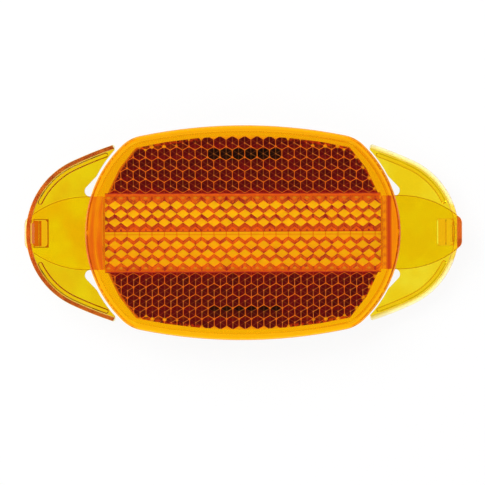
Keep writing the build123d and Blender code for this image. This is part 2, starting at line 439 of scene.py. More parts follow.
@dataclass(frozen=True)
class AmberPlastic:
    """Clear amber moulding, with tints that are partly its own colour and partly painted light for how light
    gathers in its plates, walls, necks and wings, and a painted glow.
    """

    ior: float = 1.49
    roughness: float = 0.02
    scuff: float = 0.04
    scuff_grain: float = 900.0
    scuff_detail: float = 4.0
    scuff_spread: Span = (0.5, 0.8)
    edge: float = 0.05
    hair: float = 0.02
    body_edge: Span = (-0.08, -0.02)
    plate: Colour = (1.0, 0.66, 0.16, 1.0)
    rim: Colour = (0.96, 0.64, 0.02, 1.0)
    # Painted light: lighter rim and wall tints on the lower side even out the key light's shade there.
    rim_low_painted_light: Colour = (0.98, 0.685, 0.02, 1.0)
    painted_light_low_side: Span = (-15.0, 10.0)
    wall: Colour = (0.95, 0.42, 0.003, 1.0)
    wall_low_painted_light: Colour = (0.98, 0.48, 0.003, 1.0)
    wall_edge: Span = (PLAN.wall - 0.1, PLAN.wall + 0.1)
    # Painted shade: a darker line where the wall meets the plate, and along the body's edge at the right
    # neck.
    seam_shade: Colour = (0.82, 0.22, 0.004, 1.0)
    seam_share: float = 0.6
    seam_width: Span = (0.06, 0.17)
    seam_start: Span = (10.0, 30.0)
    neck_streak: Colour = (0.74, 0.09, 0.006, 1.0)
    neck_bright: Colour = (0.90, 0.27, 0.002, 1.0)
    neck_line: Colour = (0.50, 0.02, 0.008, 1.0)
    neck_gap: Colour = (0.95, 0.47, 0.05, 1.0)
    neck_gap_length: float = 0.5
    neck_change: Span = (-25.0, 30.0)
    neck_edge: Span = (0.1, 0.3)
    neck_edge_share: float = 0.7
    streak_stretch: tuple[float, ...] = (1.1, 0.08, 4.0)
    streak_spread: Span = (0.4, 0.6)
    streak_share: float = 0.9
    streak_loss: float = 0.6
    neck_line_at: float = 34.95
    neck_line_width: Span = (0.3, 0.62)
    zigzag_step: float = 2.09
    zigzag_lean: float = 0.55
    zigzag_start: float = 33.9
    zigzag_end: Span = (34.2, 34.6)
    zigzag_width: Span = (0.12, 0.24)
    zigzag_share: float = 0.4
    crescent: Colour = (0.87, 0.53, 0.003, 1.0)
    crescent_middle: Colour = (0.89, 0.67, 0.004, 1.0)
    covered: Colour = (0.98, 0.60, 0.004, 1.0)
    covered_middle: Colour = (1.0, 0.77, 0.006, 1.0)
    crescent_far: Colour = (0.95, 0.68, 0.008, 1.0)
    crescent_far_middle: Colour = (0.98, 0.82, 0.030, 1.0)
    crescent_wall: Colour = (1.0, 0.92, 0.50, 1.0)
    crescent_wall_edge: Span = (PLAN.wing_wall - 0.07, PLAN.wing_wall + 0.05)
    cloud_grain: float = 120.0
    cloud_spread: Span = (0.35, 0.7)
    rib: Colour = (0.90, 0.54, 0.003, 1.0)
    # Painted shade: a very dark line on the near ribs' outer sides.
    rib_painted_shade: Colour = (0.10, 0.025, 0.0, 1.0)
    rib_middle: float = 1.8
    rib_start: float = 4.0
    # Painted shade: dark lines along the tongue's edges, round the windows and on the near ribs' sides.
    line: Colour = (0.55, 0.16, 0.002, 1.0)
    window_edge: Span = (-0.1, 0.1)
    window_line: Span = (0.14, 0.3)
    window_line_end: float = 50.1
    window_line_far: float = 0.08
    window_line_gain: float = 0.87
    tongue: Colour = (1.0, 0.90, 0.05, 1.0)
    tongue_low: Colour = (0.97, 0.52, 0.004, 1.0)
    tongue_end: Colour = (1.0, 0.90, 0.50, 1.0)
    tongue_end_edge: Span = (-0.1, 0.05)
    tongue_line: Span = (0.1, 0.2)
    tongue_line_share: float = 0.8
    peg: Colour = (0.76, 0.15, 0.0005, 1.0)
    peg_far: Colour = (0.98, 0.60, 0.004, 1.0)
    peg_span: Span = (PLAN.peg_outer - PLAN.peg_stem - 0.25, PLAN.peg_outer + 0.12)
    peg_root: float = 1.25
    rim_glow: Colour = (0.06, 0.025, 0.0, 1.0)
    wall_glow: Colour = (0.09, 0.038, 0.0, 1.0)
    wall_glow_reach: float = 1.5
    edge_glow: Colour = (0.27, 0.16, 0.0, 1.0)
    edge_glow_dim: Span = (20.0, 34.0)
    edge_glow_loss: float = 0.5
    edge_glow_start: Span = (8.0, 12.0)
    edge_glow_least: float = 0.3
    edge_glow_gain: float = 0.7
    rib_glow: Colour = (0.36, 0.25, 0.002, 1.0)
    rib_glow_gap: float = 0.3
    nose_glow: Colour = (0.56, 0.32, 0.0, 1.0)

    def make(self) -> Material:
        """Build the material.

        Returns:
            The material.
        """
        material, graph = new_material("amber_plastic")
        spot = Spot(graph)
        in_body = spot.body_depth.fade(*self.body_edge)
        scuffed = graph.noise(self.scuff_grain, self.scuff_detail).fade(*self.scuff_spread)
        graph.show(graph.output("ShaderNodeBsdfPrincipled", None, {
            "Base Color": graph.mix(in_body, self.wing_tint(spot), self.body_tint(spot)),
            "Roughness": scuffed * self.scuff + self.roughness,
            "IOR": self.ior,
            "Transmission Weight": 1.0,
            # Painted glow: emission that stands in for light coming out of the plastic.
            "Emission Color": self.painted_glow(spot),
            "Emission Strength": 1.0,
        }))
        return material

    def rib_side(self, spot: Spot) -> Value:
        """1 on the sides of the grip ribs, else 0."""
        top = PLAN.wing_outer + PLAN.rib_height - self.hair
        return spot.height.between(PLAN.wing_outer + self.hair, top)

    def painted_glow(self, spot: Spot) -> Value:
        """Painted glow at the rim, inner walls, chamfers, far ribs and the near peg's nose, where the
        plastic lets out light.

        Args:
            spot: The spot on the plastic.

        Returns:
            The painted glow's colour.
        """
        depth, height = spot.body_depth, spot.height
        face = PLAN.mid_level - self.hair / 2
        in_rim = (height > face) * (spot.field_side.least(spot.field_end) < 0.0) * (depth > 0.0)
        inner_wall = depth.between(PLAN.wall - self.edge, PLAN.wall + self.wall_glow_reach)
        chamfer = height.between(face - PLAN.chamfer, face)
        chamfer = chamfer * depth.between(-self.edge, PLAN.chamfer + 2 * self.hair)
        chamfer = chamfer * (1.0 - spot.x.fade(*self.edge_glow_dim) * self.edge_glow_loss)
        far_rib = self.rib_side(spot) * (spot.x > 0.0) * (depth < -self.rib_glow_gap)
        lit = self.edge_glow_least + spot.off.fade(*self.edge_glow_start) * self.edge_glow_gain
        nose = (height > PLAN.wing_outer + self.hair / 2) * (spot.x < -self.peg_span[1])
        return spot.graph.paint(
            UNLIT,
            (in_rim, self.rim_glow),
            (inner_wall * (height < PLAN.plate_height - self.hair), self.wall_glow),
            (chamfer * lit, self.edge_glow),
            (far_rib * (spot.off > self.rib_start), self.rib_glow),
            (nose * (spot.off < PLAN.peg_half_width + self.hair), self.nose_glow),
        )

    def body_tint(self, spot: Spot) -> Value:
        """Tint of the plates, walls and necks, with painted light on the lower side and a painted shade line
        at the seam.

        Args:
            spot: The spot on the plastic.

        Returns:
            The tint's colour.
        """
        graph, depth = spot.graph, spot.body_depth
        # Painted light: low is 1 on the lower side, where the lighter tints even out the key light's shade.
        low = spot.y.fade_out(*self.painted_light_low_side)
        # Painted shade line where the wall meets the plate, stronger towards the right.
        at_seam_shade = abs(depth - PLAN.wall).fade_out(*self.seam_width) * spot.x.fade(*self.seam_start)
        start = PLAN.body_half_length - PLAN.neck_length
        in_neck = (spot.past > start - self.neck_gap_length) * (spot.off < PLAN.neck_half_width + self.edge)
        return graph.paint(
            graph.mix(low, self.rim, self.rim_low_painted_light),
            (spot.field_side.least(spot.field_end).fade(-self.edge, self.edge), self.plate),
            (depth.fade_out(*self.wall_edge), graph.mix(low, self.wall, self.wall_low_painted_light)),
            (at_seam_shade * self.seam_share, self.seam_shade),
            (in_neck, graph.mix(spot.past < start, self.neck_tint(spot), self.neck_gap)),
        )

    def neck_tint(self, spot: Spot) -> Value:
        """Tint of the necks: streaks, a dark line and the band's last zigzag.

        Args:
            spot: The spot on the plastic.

        Returns:
            The tint's colour.
        """
        graph, depth = spot.graph, spot.body_depth
        to_right = spot.x.fade(*self.neck_change)
        ways = zip((depth, spot.y, to_right), self.streak_stretch)
        sockets = {"Vector": graph.vector(*(way * share for way, share in ways)), "Scale": 1.0}
        streak = graph.output("ShaderNodeTexNoise", None, sockets).fade(*self.streak_spread)
        lean = abs(spot.x - self.zigzag_start) * self.zigzag_lean
        wave = graph.math("FRACT", spot.y / self.zigzag_step + lean)
        zigzag = (spot.x > 0.0) * spot.x.fade_out(*self.zigzag_end)
        zigzag = zigzag * abs(wave - 0.5).fade_out(*self.zigzag_width)
        at_line = abs(spot.x - self.neck_line_at).fade_out(*self.neck_line_width)
        return graph.paint(
            self.neck_bright,
            (streak * (self.streak_share - to_right * self.streak_loss), self.neck_streak),
            (at_line.most(zigzag * self.zigzag_share), self.neck_line),
            # Painted shade along the body's edge at the right neck.
            (depth.fade_out(*self.neck_edge) * to_right * self.neck_edge_share, self.seam_shade),
        )

    def wing_tint(self, spot: Spot) -> Value:
        """Tint of the tongues, crescents and pegs, with painted shade lines along the tongue's edges.

        Args:
            spot: The spot on the plastic.

        Returns:
            The tint's colour.
        """
        graph, left, on_crescent = spot.graph, spot.x < 0.0, spot.on_crescent
        end_wall = PLAN.tongue_length - PLAN.tongue_end_wall
        in_peg = spot.past.between(*self.peg_span) * (spot.off < PLAN.peg_half_width + self.hair)
        in_peg = in_peg * (1.0 - on_crescent).most(spot.height > PLAN.wing_outer)
        below = (spot.height < PLAN.wing_outer - self.peg_root).most(on_crescent).most(left)
        return graph.paint(
            self.tongue,
            (spot.from_window.fade_out(*self.window_edge), self.tongue_low),
            (abs(spot.tongue_depth).fade_out(*self.tongue_line) * self.tongue_line_share, self.line),
            ((spot.past - end_wall).fade(*self.tongue_end_edge), self.tongue_end),
            (on_crescent, self.crescent_tint(spot)),
            (in_peg * below, graph.mix(left, self.peg_far, self.peg)),
        )

    def crescent_tint(self, spot: Spot) -> Value:
        """Tint of the crescents, their walls, grip ribs and windows, with painted shade lines on the near
        ribs' sides and round the windows.

        Args:
            spot: The spot on the plastic.

        Returns:
            The tint's colour.
        """
        graph, left, depth = spot.graph, spot.x < 0.0, spot.crescent_depth
        cloud = graph.noise(self.cloud_grain).fade(*self.cloud_spread)
        near = graph.mix(
            spot.tongue_depth.fade(-self.edge, self.edge),
            graph.mix(cloud, self.crescent, self.crescent_middle),
            graph.mix(cloud, self.covered, self.covered_middle),
        )
        at_window = abs(spot.from_window).fade_out(*self.window_line) * (spot.past < self.window_line_end)
        rib_side = self.rib_side(spot) * left
        return graph.paint(
            graph.mix(cloud, self.crescent_far, self.crescent_far_middle),
            (left, near),
            (spot.height > PLAN.wing_outer + PLAN.rib_height - self.hair, self.rib),
            (depth.fade_out(*self.crescent_wall_edge), self.crescent_wall),
            (rib_side.most(at_window * (self.window_line_far + left * self.window_line_gain)), self.line),
            (rib_side * (depth < self.rib_middle), self.rib_painted_shade),
        )


@dataclass(frozen=True)
class HexPaintedLight:
    """Painted light and shade of the prisms: dark faces with amber edges, as they look from inside the
    plastic.
    """

    edge_length: float
    # Painted shade: each kind of face a little darker than the last, as light falls on it.
    faces: tuple[Colour, ...] = (colour(128, 4, 44), colour(117, 4, 40), colour(108, 3, 38))
    # Near black, for cells darker at random and for a painted shade row along each field.
    black: Colour = colour(12, 2, 16)
    border: Colour = colour(252, 146, 60)
    border_width: Span = (0.075, 0.125)
    # Painted highlights: bright lines from each cell's middle, and a bright middle.
    spoke: Colour = colour(250, 170, 100)
    spoke_width: Span = (0.02, 0.17)
    spoke_shares: tuple[float, ...] = (0.62, 0.34, 0.36, 0.14)
    spoke_tone: float = 0.5
    spoke_loss: float = 0.25
    centre_size: Span = (0.1, 0.28)
    centre_loss: float = 0.4
    # Painted highlight where cell edges meet.
    knot: Colour = colour(255, 152, 50)
    knot_size: Span = (0.14, 0.27)
    notch_size: Span = (0.3, 0.5)
    cap: Colour = colour(176, 24, 40)
    cap_share: float = 0.72
    fringe: Colour = colour(226, 78, 30)
    rim: Colour = colour(255, 200, 24)
    left_edge: Colour = colour(250, 150, 30)
    left_edge_width: Span = (0.15, 0.75)
    dark_row: float = 18.75
    dark_half_width: float = 1.3
    dark_middle: float = 0.25
    dark_reach: float = 8.8
    dark_share: float = 0.92
    dark_loss: float = 0.6
    tone_share: float = 0.28
    blot_grain: float = 700.0
    blot_spread: Span = (0.45, 0.75)
    blot_share: float = 0.25
    fray_grain: float = 900.0
    fray_spread: Span = (0.4, 0.58)
    fray_end: Span = (0.15, 0.8)
    fray_side: Span = (0.3, 1.0)
    fray_start: Span = (7.0, 12.0)
    fray_share: float = 0.9
    fray_side_share: float = 0.8
    notch_end: Span = (0.5, 0.9)
    notch_side: Span = (0.9, 1.5)
    notch_start: Span = (8.0, 11.0)
    first_row: float = -4.5
    last_row: float = 0.5
    # Painted glow in the faces' own colour.
    glow: float = 0.25

    def make(self, name: str) -> Material:
        """Build the material.

        Args:
            name: The material's name.

        Returns:
            The material.
        """
        material, graph = new_material(name)
        spot = PrismSpot(graph)
        in_groove = spot.from_kind(Facet.LEFT_GROOVE)
        in_dark = abs(spot.off - self.dark_row) < self.dark_half_width
        in_dark = in_dark * (abs(spot.x - self.dark_middle) < self.dark_reach)
        in_dark = in_dark * (1.0 - (spot.y < 0.0) * in_groove * self.dark_loss)
        blot = graph.noise(self.blot_grain).fade(*self.blot_spread)
        far, side = 1.0 - spot.along, 1.0 - spot.across
        to_border = (1.0 - spot.along.most(spot.across)) * self.edge_length
        to_centre = spot.along.hypot(spot.across) * self.edge_length
        to_knot = spot.along.hypot(side).least(far.hypot(spot.across)).least(far.hypot(side))
        to_knot = to_knot * self.edge_length
        at_side = spot.field_side.fade_out(*self.fray_side) * spot.past.fade(*self.fray_start)
        frayed = spot.field_end.fade_out(*self.fray_end).most(at_side * self.fray_side_share)
        frayed = frayed * graph.noise(self.fray_grain).fade(*self.fray_spread)
        notched = spot.field_side.fade_out(*self.notch_side) * spot.past.fade(*self.notch_start)
        notched = notched.most(spot.field_end.fade_out(*self.notch_end) * (spot.x > 0.0))
        gloom = (spot.tone * self.tone_share).most(in_dark * self.dark_share) + blot * self.blot_share
        shade = graph.paint(
            self.faces[0],
            (in_groove, self.faces[1]),
            (spot.from_kind(Facet.RIGHT_GROOVE), self.faces[2]),
            (gloom, self.black),
            (self.spokes(spot, in_dark), self.spoke),
            (to_border.fade_out(*self.border_width), self.border),
            (to_centre.fade_out(*self.centre_size) * (1.0 - in_dark * self.centre_loss), self.spoke),
            (to_knot.fade_out(*self.knot_size), self.knot),
            (frayed * self.fray_share, self.fringe),
            (to_knot.fade_out(*self.notch_size) * notched, self.rim),
            (spot.field_end.fade_out(*self.left_edge_width) * (spot.x < 0.0), self.left_edge),
            ((spot.row > self.last_row) * self.cap_share, self.cap),
            (spot.row < self.first_row, self.rim),
        )
        return finish_painted_glow(material, graph, shade, self.glow)

    def spokes(self, spot: PrismSpot, in_dark: Value) -> Value:
        """Share of the painted highlight lines that leave a cell's middle, brighter towards the right and
        downwards.

        Args:
            spot: The spot on the prisms.
            in_dark: How far the spot is in a row of dark cells.

        Returns:
            The share.
        """
        along, across = spot.along, spot.across
        square, left, right = (
            spot.is_kind(kind) for kind in (Facet.SQUARE, Facet.LEFT_GROOVE, Facet.RIGHT_GROOVE)
        )
        first = across < along
        to_right = (square * first).most(right * (1.0 - first))
        down = (right * first).most(left * (1.0 - first))
        right_share, down_share, low_share, least_share = self.spoke_shares
        strength = to_right * right_share + down * (down_share + (spot.y < 0.0) * low_share) + least_share
        strength = strength * (1.0 - self.spoke_tone + spot.tone * self.spoke_tone)
        strength = strength * (1.0 - in_dark * self.spoke_loss)
        near = (along.least(across) * self.edge_length).fade_out(*self.spoke_width)
        mirrored = (abs(along - across) * self.edge_length).fade_out(*self.spoke_width)
        return (near * strength).most(mirrored * least_share)


@dataclass(frozen=True)
class BandPaintedLight:
    """Painted light and shade of the band's prisms: bright diamonds between orange and dark red grooves, as
    they look from inside the plastic.
    """

    edge_length: float
    shield_top: float
    square: Colour = colour(255, 234, 34)
    # Darker diamonds for random tone and, as painted shade, on the band's lower half.
    square_low: Colour = colour(255, 216, 28)
    groove: Colour = colour(214, 104, 50)
    groove_low: Colour = colour(216, 108, 40)
    stroke: Colour = colour(156, 20, 66)
    # Painted shade: darker lines between the diamonds.
    line: Colour = colour(205, 90, 20)
    line_width: Span = (0.06, 0.2)
    edge_row: Colour = colour(238, 130, 40)
    zigzag: Colour = colour(236, 132, 38)
    split: Colour = colour(196, 76, 34)
    margin: Colour = colour(226, 100, 36)
    dot: Colour = colour(255, 196, 60)
    dot_size: Span = (0.36, 0.34)
    dot_row: float = 8.4
    dot_edge: Span = (0.3, 1.0)
    dot_share: float = 0.8
    dash_drop: float = 0.62
    dash_width: Span = (0.0625, 0.1375)
    dash_share: float = 0.5
    divider_share: float = 0.75
    hex_start: float = 9.49
    blot_grain: float = 620.0
    blot_detail: float = 3.0
    blot_spread: Span = (0.46, 0.6)
    blot_share: float = 0.95
    ridge_width: Span = (0.0, 0.3)
    ridge_share: float = 0.45
    stroke_least: float = 0.65
    stroke_tone: float = 0.6
    lower_loss: float = 0.3
    inmost_loss: float = 0.4
    left_loss: float = 0.3
    red_start: Span = (-0.12, 0.0)
    red_share: float = 0.8
    red_waver: float = 0.3
    rise_side: Span = (0.7, 0.9)
    rise_middle: Span = (0.1, 0.22)
    rise_height: Span = (0.45, 0.8)
    rise_tone: float = 0.5
    low_tone: float = 0.5
    low_share: float = 0.4
    margin_grain: float = 500.0
    margin_share: float = 0.4
    first_row: float = -3.5
    last_row: float = -0.5
    # Painted glow in the faces' own colour.
    glow: float = 0.32

    def make(self, name: str) -> Material:
        """Build the material.

        Args:
            name: The material's name.

        Returns:
            The material.
        """
        material, graph = new_material(name)
        spot = PrismSpot(graph)
        lower = spot.y < self.shield_top
        inmost = (spot.row > self.last_row) * (1.0 - lower)
        blot = graph.noise(self.blot_grain, self.blot_detail).fade(*self.blot_spread)
        ridge = spot.along.least(spot.across).fade_out(*self.ridge_width)
        stroke = blot * self.blot_share + ridge * self.ridge_share
        stroke = stroke * (self.stroke_least + spot.tone * self.stroke_tone)
        stroke = stroke * (1.0 - lower * self.lower_loss - inmost * self.inmost_loss)
        stroke = stroke * (1.0 - self.left_loss + spot.from_kind(Facet.RIGHT_GROOVE) * self.left_loss)
        in_groove = spot.is_kind(Facet.LEFT_GROOVE) + spot.is_kind(Facet.RIGHT_GROOVE)
        divider = (abs(spot.along - spot.across) * self.edge_length).fade_out(*self.line_width)
        divider = divider * spot.from_kind(Facet.SHIELD)
        dash = abs(spot.y - self.shield_top + self.dash_drop).fade_out(*self.dash_width) * lower
        red = spot.off - self.hex_start + graph.noise(self.margin_grain) * self.red_waver
        groove = graph.paint(self.groove, (lower, self.groove_low), (stroke.least(1.0), self.stroke))
        reddened = (red.fade(*self.red_start) * self.red_share, self.stroke)
        margin = graph.paint(self.margin, (blot * self.margin_share, self.edge_row), reddened)
        shade = graph.paint(
            self.squares(spot, lower, inmost),
            (in_groove, groove),
            ((divider * self.divider_share).most(dash * self.dash_share), self.line),
            (spot.from_kind(Facet.SPLIT), self.split),
            (spot.from_kind(Facet.MARGIN), margin),
        )
        return finish_painted_glow(material, graph, shade, self.glow)

    def squares(self, spot: PrismSpot, lower: Value, inmost: Value) -> Value:
        """Colour of the square faces: diamonds, the dotted outer row and the zigzag of the inmost row.

        Args:
            spot: The spot on the prisms.
            lower: 1 in the lower half of the band, else 0.
            inmost: 1 in the upper half's inmost row, else 0.

        Returns:
            The colour.
        """
        graph, apart = spot.graph, spot.along - spot.across
        wide, tall = apart / self.dot_size[0], (spot.off - self.dot_row) / self.dot_size[1]
        dot = (wide * wide + tall * tall).fade_out(*self.dot_edge)
        at_side = abs(apart).fade(*self.rise_side).most(abs(apart).fade_out(*self.rise_middle))
        rise = at_side * (spot.y - self.shield_top).fade_out(*self.rise_height)
        rise = rise * (1.0 - self.rise_tone + spot.tone * self.rise_tone)
        return graph.paint(
            self.square,
            (spot.tone * self.low_tone + lower * self.low_share, self.square_low),
            (spot.row < self.first_row, graph.mix(dot * self.dot_share, self.edge_row, self.dot)),
            (inmost, graph.mix(rise, self.zigzag, self.stroke)),
        )


@dataclass(frozen=True)
class WingPaintedLight:
    """Painted light and shade on sheets in a wing's wall: deep orange from outside, pale from inside, with a
    painted glow.
    """

    ring: Colour = colour(196, 101, 20)
    ring_dark: Colour = colour(172, 75, 12)
    ring_end: Colour = colour(216, 100, 10)
    ring_end_dark: Colour = colour(196, 80, 8)
    ring_change: Span = (3.0, 15.0)
    block: Colour = colour(214, 106, 34)
    block_dark: Colour = colour(186, 76, 22)
    inner: Colour = colour(252, 236, 130)
    # Painted highlight: near-white along the crescent's outer edge.
    rim: Colour = colour(255, 252, 238)
    rim_depth: Span = (0.2, 0.95)
    covered: Colour = colour(255, 232, 110)
    covered_edge: Span = (6.2, 7.2)
    lug: Colour = colour(255, 240, 205)
    lug_start: float = 51.9
    mottle_grain: float = 300.0
    mottle_spread: Span = (0.4, 0.65)
    inner_height: Span = (0.5, 0.9)
    # Painted glow in the sheets' own colour.
    glow: float = 0.4

    def make(self) -> Material:
        """Build the material.

        Returns:
            The material.
        """
        material, graph = new_material("wing_painted_light")
        spot = Spot(graph)
        mottle = graph.noise(self.mottle_grain).fade(*self.mottle_spread)
        ring = graph.mix(
            spot.off.fade(*self.ring_change),
            graph.mix(mottle, self.ring_end, self.ring_end_dark),
            graph.mix(mottle, self.ring, self.ring_dark),
        )
        deep = graph.mix(spot.on_crescent, graph.mix(mottle, self.block, self.block_dark), ring)
        inner = graph.mix(spot.crescent_depth.fade(*self.rim_depth), self.rim, self.inner)
        shade = graph.paint(
            self.covered,
            (spot.off.fade(*self.covered_edge), inner),
            (spot.past > self.lug_start, self.lug),
            (spot.height.fade(*self.inner_height), deep),
        )
        return finish_painted_glow(material, graph, shade, self.glow)


def finish_painted_glow(material: Material, graph: Graph, shade: Value, glow: float,
                  roughness: float = 0.3) -> Material:
    """Close a material inside the plastic: satin faces with a painted glow in their own colour.

    Args:
        material: The material.
        graph: Its nodes.
        shade: Colour of the faces.
        glow: Strength of the painted glow.
        roughness: Roughness of the faces.

    Returns:
        The material.
    """
    graph.show(graph.output("ShaderNodeBsdfPrincipled", None, {
        "Base Color": shade, "Roughness": roughness, "Emission Color": shade, "Emission Strength": glow,
    }))
    return material


@dataclass(frozen=True)
class FloorFinish:
    """Pale floor that shows white and keeps the shadow."""

    base: Colour = colour(250, 250, 250)
    roughness: float = 0.8
    glow_share: float = 0.9

    def make(self) -> Material:
        """Build the material.

        Returns:
            The material.
        """
        material, graph = new_material("pale_floor")
        sockets = {"Base Color": self.base, "Roughness": self.roughness}
        matt = graph.output("ShaderNodeBsdfPrincipled", None, sockets)
        glow = graph.output("ShaderNodeEmission", None, {"Color": WHITE, "Strength": 1.0})
        path = graph.node("ShaderNodeLightPath").outputs
        seen = Value(graph, path["Is Camera Ray"])
        for ray in ("Is Glossy Ray", "Is Transmission Ray"):
            seen = seen.most(Value(graph, path[ray]))
        sockets = {0: seen * self.glow_share, 1: matt, 2: glow}
        graph.show(graph.output("ShaderNodeMixShader", None, sockets))
        return material


def turn_to_rear(shape: BMesh, half: Half) -> None:
    """Turn a shape that was made for the front moulding into the rear one's place, if it is for that.

    Args:
        shape: The shape, in metres.
        half: The moulding that it is for.
    """
    if half is Half.REAR:
        turn, centre = Matrix.Rotation(math.pi, 4, "Y"), Vector((0, 0, PLAN.mid_level * MM))
        bmesh.ops.rotate(shape, cent=centre, matrix=turn, verts=shape.verts)


def add_piece(name: str, shape: BMesh, finish: Material) -> Object:
    """Make a shape into a piece that rides on the reflector's only body.

    Args:
        name: The piece's name.
        shape: Its shape, which is freed.
        finish: Its material.

    Returns:
        The piece.
    """
    mesh = bpy.data.meshes.new(name)
    shape.to_mesh(mesh)
    shape.free()
    mesh.materials.append(finish)
    piece = bpy.data.objects.new(name, mesh)
    bpy.context.scene.collection.objects.link(piece)
    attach(piece, "root")
    return piece


@dataclass
class PrismLattice:
    """Staggered rows of cube-corner cells, laid by Geometry Nodes for the lower field."""

    name: str
    incline: float
    apex_row: float
    first_row: int
    rows: int
    columns: int
    seed: int
    shield_row: bool = False
    pitch: float = 2.96 * MM
    level: float = 8.28 * MM
    shift: float = 0.5 * MM
    sew: float = 0.002 * MM

    @property
    def face_run(self) -> float:
        """Run along Y of half a square face."""
        return self.pitch / 2 * math.sin(math.radians(self.incline))

    @property
    def fall(self) -> float:
        """Fall along Z of half a square face."""
        return self.pitch / 2 * math.cos(math.radians(self.incline))

    @property
    def groove_run(self) -> float:
        """Run along Y of a groove."""
        return self.fall / math.tan(math.radians(self.incline))

    @property
    def edge_length(self) -> float:
        """Length of a cell's edge as seen from the front."""
        return math.hypot(self.pitch / 2, self.face_run)

    def sizes(self) -> dict[str, float | int]:
        """Sizes that the tree takes, by the names of its inputs.

        Returns:
            Lengths as numbers with a point, and counts as whole numbers.
        """
        return {
            "Pitch": self.pitch, "Face Run": self.face_run, "Groove Run": self.groove_run, "Fall": self.fall,
            "Apex Row": self.apex_row, "Level": self.level, "Shift": self.shift,
            "First Row": self.first_row, "Rows": self.rows, "Columns": self.columns, "Seed": self.seed,
            "Shield Row": int(self.shield_row),
        }

    def tree(self) -> NodeTree:
        """Build the node tree, with its sizes as named inputs.

        Returns:
            The tree.
        """
        tree = bpy.data.node_groups.new(self.name, "GeometryNodeTree")
        graph = Graph(tree)
        for label, size in self.sizes().items():
            kind = "NodeSocketInt" if isinstance(size, int) else "NodeSocketFloat"
            tree.interface.new_socket(label, in_out="INPUT", socket_type=kind)
        tree.interface.new_socket("Finish", in_out="INPUT", socket_type="NodeSocketMaterial")
        tree.interface.new_socket("Mesh", in_out="OUTPUT", socket_type="NodeSocketGeometry")
        given = {socket.name: Value(graph, socket) for socket in graph.node("NodeGroupInput").outputs}
        half, fall = given["Pitch"] * 0.5, given["Fall"]
        right, left = (half, given["Face Run"], fall), (half * -1.0, given["Face Run"], fall)
        down = (0.0, given["Groove Run"] * -1.0, fall)
        cell = graph.node("GeometryNodeJoinGeometry")
        for kind, first, second in (
            (Facet.SQUARE, right, left), (Facet.LEFT_GROOVE, left, down), (Facet.RIGHT_GROOVE, down, right),
        ):
            graph.feed(cell.inputs[0], self.face(graph, kind, first, second))
        shield = self.face(graph, Facet.SHIELD, right, left)
        sockets = {"Geometry": shield, "Translation": graph.vector(*right)}
        shield = graph.output("GeometryNodeTransform", None, sockets)
        laid, row = self.spots(graph, given), graph.read("row")
        sockets = {"Points": laid, "Instance": Value(graph, cell.outputs[0])}
        cells = graph.output("GeometryNodeInstanceOnPoints", None, sockets)
        in_last = row > given["First Row"] + given["Rows"] - 1.5
        sockets = {"Points": laid, "Instance": shield, "Selection": in_last * given["Shield Row"]}
        shields = graph.output("GeometryNodeInstanceOnPoints", None, sockets)
        both = graph.node("GeometryNodeJoinGeometry", None, {0: cells})
        graph.feed(both.inputs[0], shields)
        chance = graph.node("FunctionNodeRandomValue", {"data_type": "FLOAT"}, {"Seed": given["Seed"]})
        drawn = Value(graph, next(socket for socket in chance.outputs if socket.enabled))
        prisms = graph.store(Value(graph, both.outputs[0]), "drawn", drawn, "INSTANCE")
        prisms = graph.output("GeometryNodeRealizeInstances", None, {0: prisms})
        prisms = graph.store(prisms, "cell_tone", graph.read("drawn"))
        prisms = graph.store(prisms, "cell_row", row)
        for spare in ("row", "drawn"):
            prisms = graph.output("GeometryNodeRemoveAttribute", None, {"Geometry": prisms, "Name": spare})
        sockets = {"Geometry": prisms, "Distance": self.sew}
        prisms = graph.output("GeometryNodeMergeByDistance", None, sockets)
        sockets = {"Geometry": prisms, "Material": given["Finish"]}
        graph.node("NodeGroupOutput", None, {0: graph.output("GeometryNodeSetMaterial", None, sockets)})
        return tree

    @staticmethod
    def spots(graph: Graph, given: dict[str, Value]) -> Value:
        """Lay the staggered spots that the cells stand on.

        Args:
            graph: The tree that they are added to.
            given: The tree's inputs by name.

        Returns:
            The spots, each with the number of its row.
        """
        row_step = given["Face Run"] + given["Groove Run"]
        deep = row_step * (given["Rows"] - 1.0)
        grid = graph.output("GeometryNodeMeshGrid", None, {
            "Size X": given["Pitch"] * (given["Columns"] - 1.0), "Size Y": deep,
            "Vertices X": given["Columns"], "Vertices Y": given["Rows"],
        })
        grid_x, grid_y, _ = graph.parts(graph.output("GeometryNodeInputPosition"))
        row = graph.math("ROUND", (grid_y + deep * 0.5) / row_step) + given["First Row"]
        odd = graph.math("FLOORED_MODULO", row, 2.0)
        spot = graph.vector(
            grid_x + odd * (given["Pitch"] * 0.5) + given["Shift"],
            given["Apex Row"] + row * row_step,
            given["Level"] - given["Fall"] * 2.0,
        )
        sockets = {"Geometry": graph.store(grid, "row", row, "POINT"), "Position": spot}
        return graph.output("GeometryNodeSetPosition", None, sockets)

    @staticmethod
    def face(graph: Graph, kind: Facet, first: tuple, second: tuple) -> Value:
        """One four-sided face that leaves the cell's lowest point along two edges.

        Args:
            graph: The tree that it is added to.
            kind: The kind that its attribute stores.
            first: Components of one edge.
            second: Components of the other edge.

        Returns:
            The face's mesh.
        """
        sockets = {"Size X": 1.0, "Size Y": 1.0, "Vertices X": 2, "Vertices Y": 2}
        mesh, uv_map = (
            Value(graph, socket) for socket in graph.node("GeometryNodeMeshGrid", None, sockets).outputs
        )
        along, across, _ = (part + 0.5 for part in graph.parts(graph.output("GeometryNodeInputPosition")))
        bent = graph.vector(*(along * a + across * b for a, b in zip(first, second)))
        marked = graph.store(mesh, "facet", float(kind.value))
        mapped = graph.store(marked, "cell_uv", uv_map, "CORNER", "FLOAT2")
        return graph.output("GeometryNodeSetPosition", None, {"Geometry": mapped, "Position": bent})

